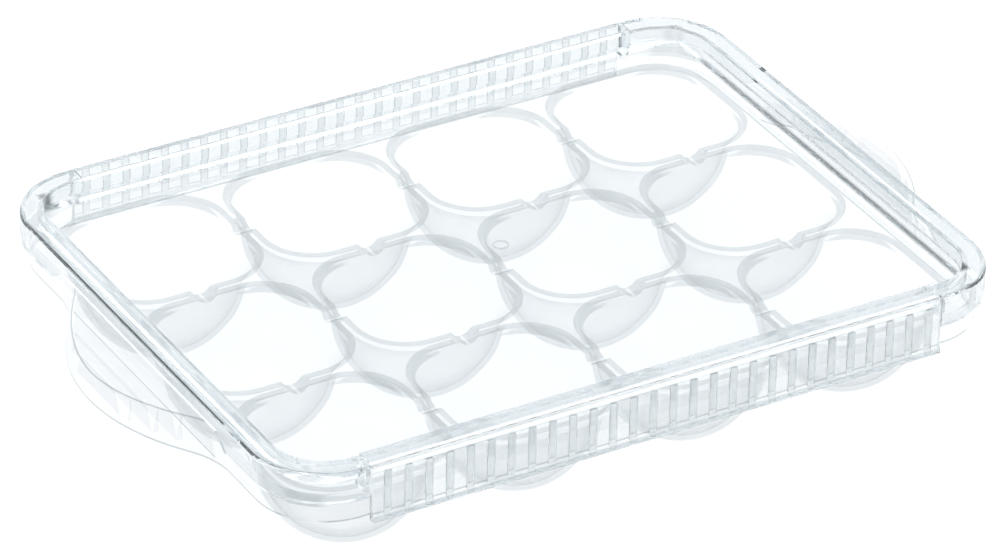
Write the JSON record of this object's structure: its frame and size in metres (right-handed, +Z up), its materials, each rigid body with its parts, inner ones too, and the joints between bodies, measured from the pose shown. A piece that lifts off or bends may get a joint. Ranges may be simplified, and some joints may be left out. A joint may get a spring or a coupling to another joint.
{
  "type": "lidded portion tray",
  "caption": "Shallow tray of round-bottomed cups joined by small spouts, with wing handles, a clear recessed lid and ribbed latch strips along its long sides.",
  "frame": {"origin": "on the table under the middle of the tray", "axes": "+Z up, +X along the long side to the right, +Y to the rear"},
  "size_m": [0.1944, 0.1338, 0.0323],
  "materials": {
    "tray": "translucent, faintly frosted polypropylene",
    "lid": "clear glossy plastic",
    "latch_strip": "clear glossy plastic"
  },
  "bodies": {
    "tray_body": {"tray": "tray"},
    "lid_body": {"lid": "lid"},
    "front_strip_body": {"front_latch_strip": "latch_strip"},
    "rear_strip_body": {"rear_latch_strip": "latch_strip"}
  },
  "joints": [
    {"name": "lid_lift", "type": "slide", "parent": "tray_body", "child": "lid_body", "axis": [0, 0, 1], "range_m": [0, 0.06]},
    {"name": "front_strip_flex", "type": "hinge", "parent": "lid_body", "child": "front_strip_body", "pos_m": [0, -0.0654, 0.0312], "axis": [-1, 0, 0], "range_deg": [0, 12], "stiffness_Nm_per_rad": 0.3},
    {"name": "rear_strip_flex", "type": "hinge", "parent": "lid_body", "child": "rear_strip_body", "pos_m": [0, 0.0654, 0.0312], "axis": [1, 0, 0], "range_deg": [0, 12], "stiffness_Nm_per_rad": 0.3}
  ]
}
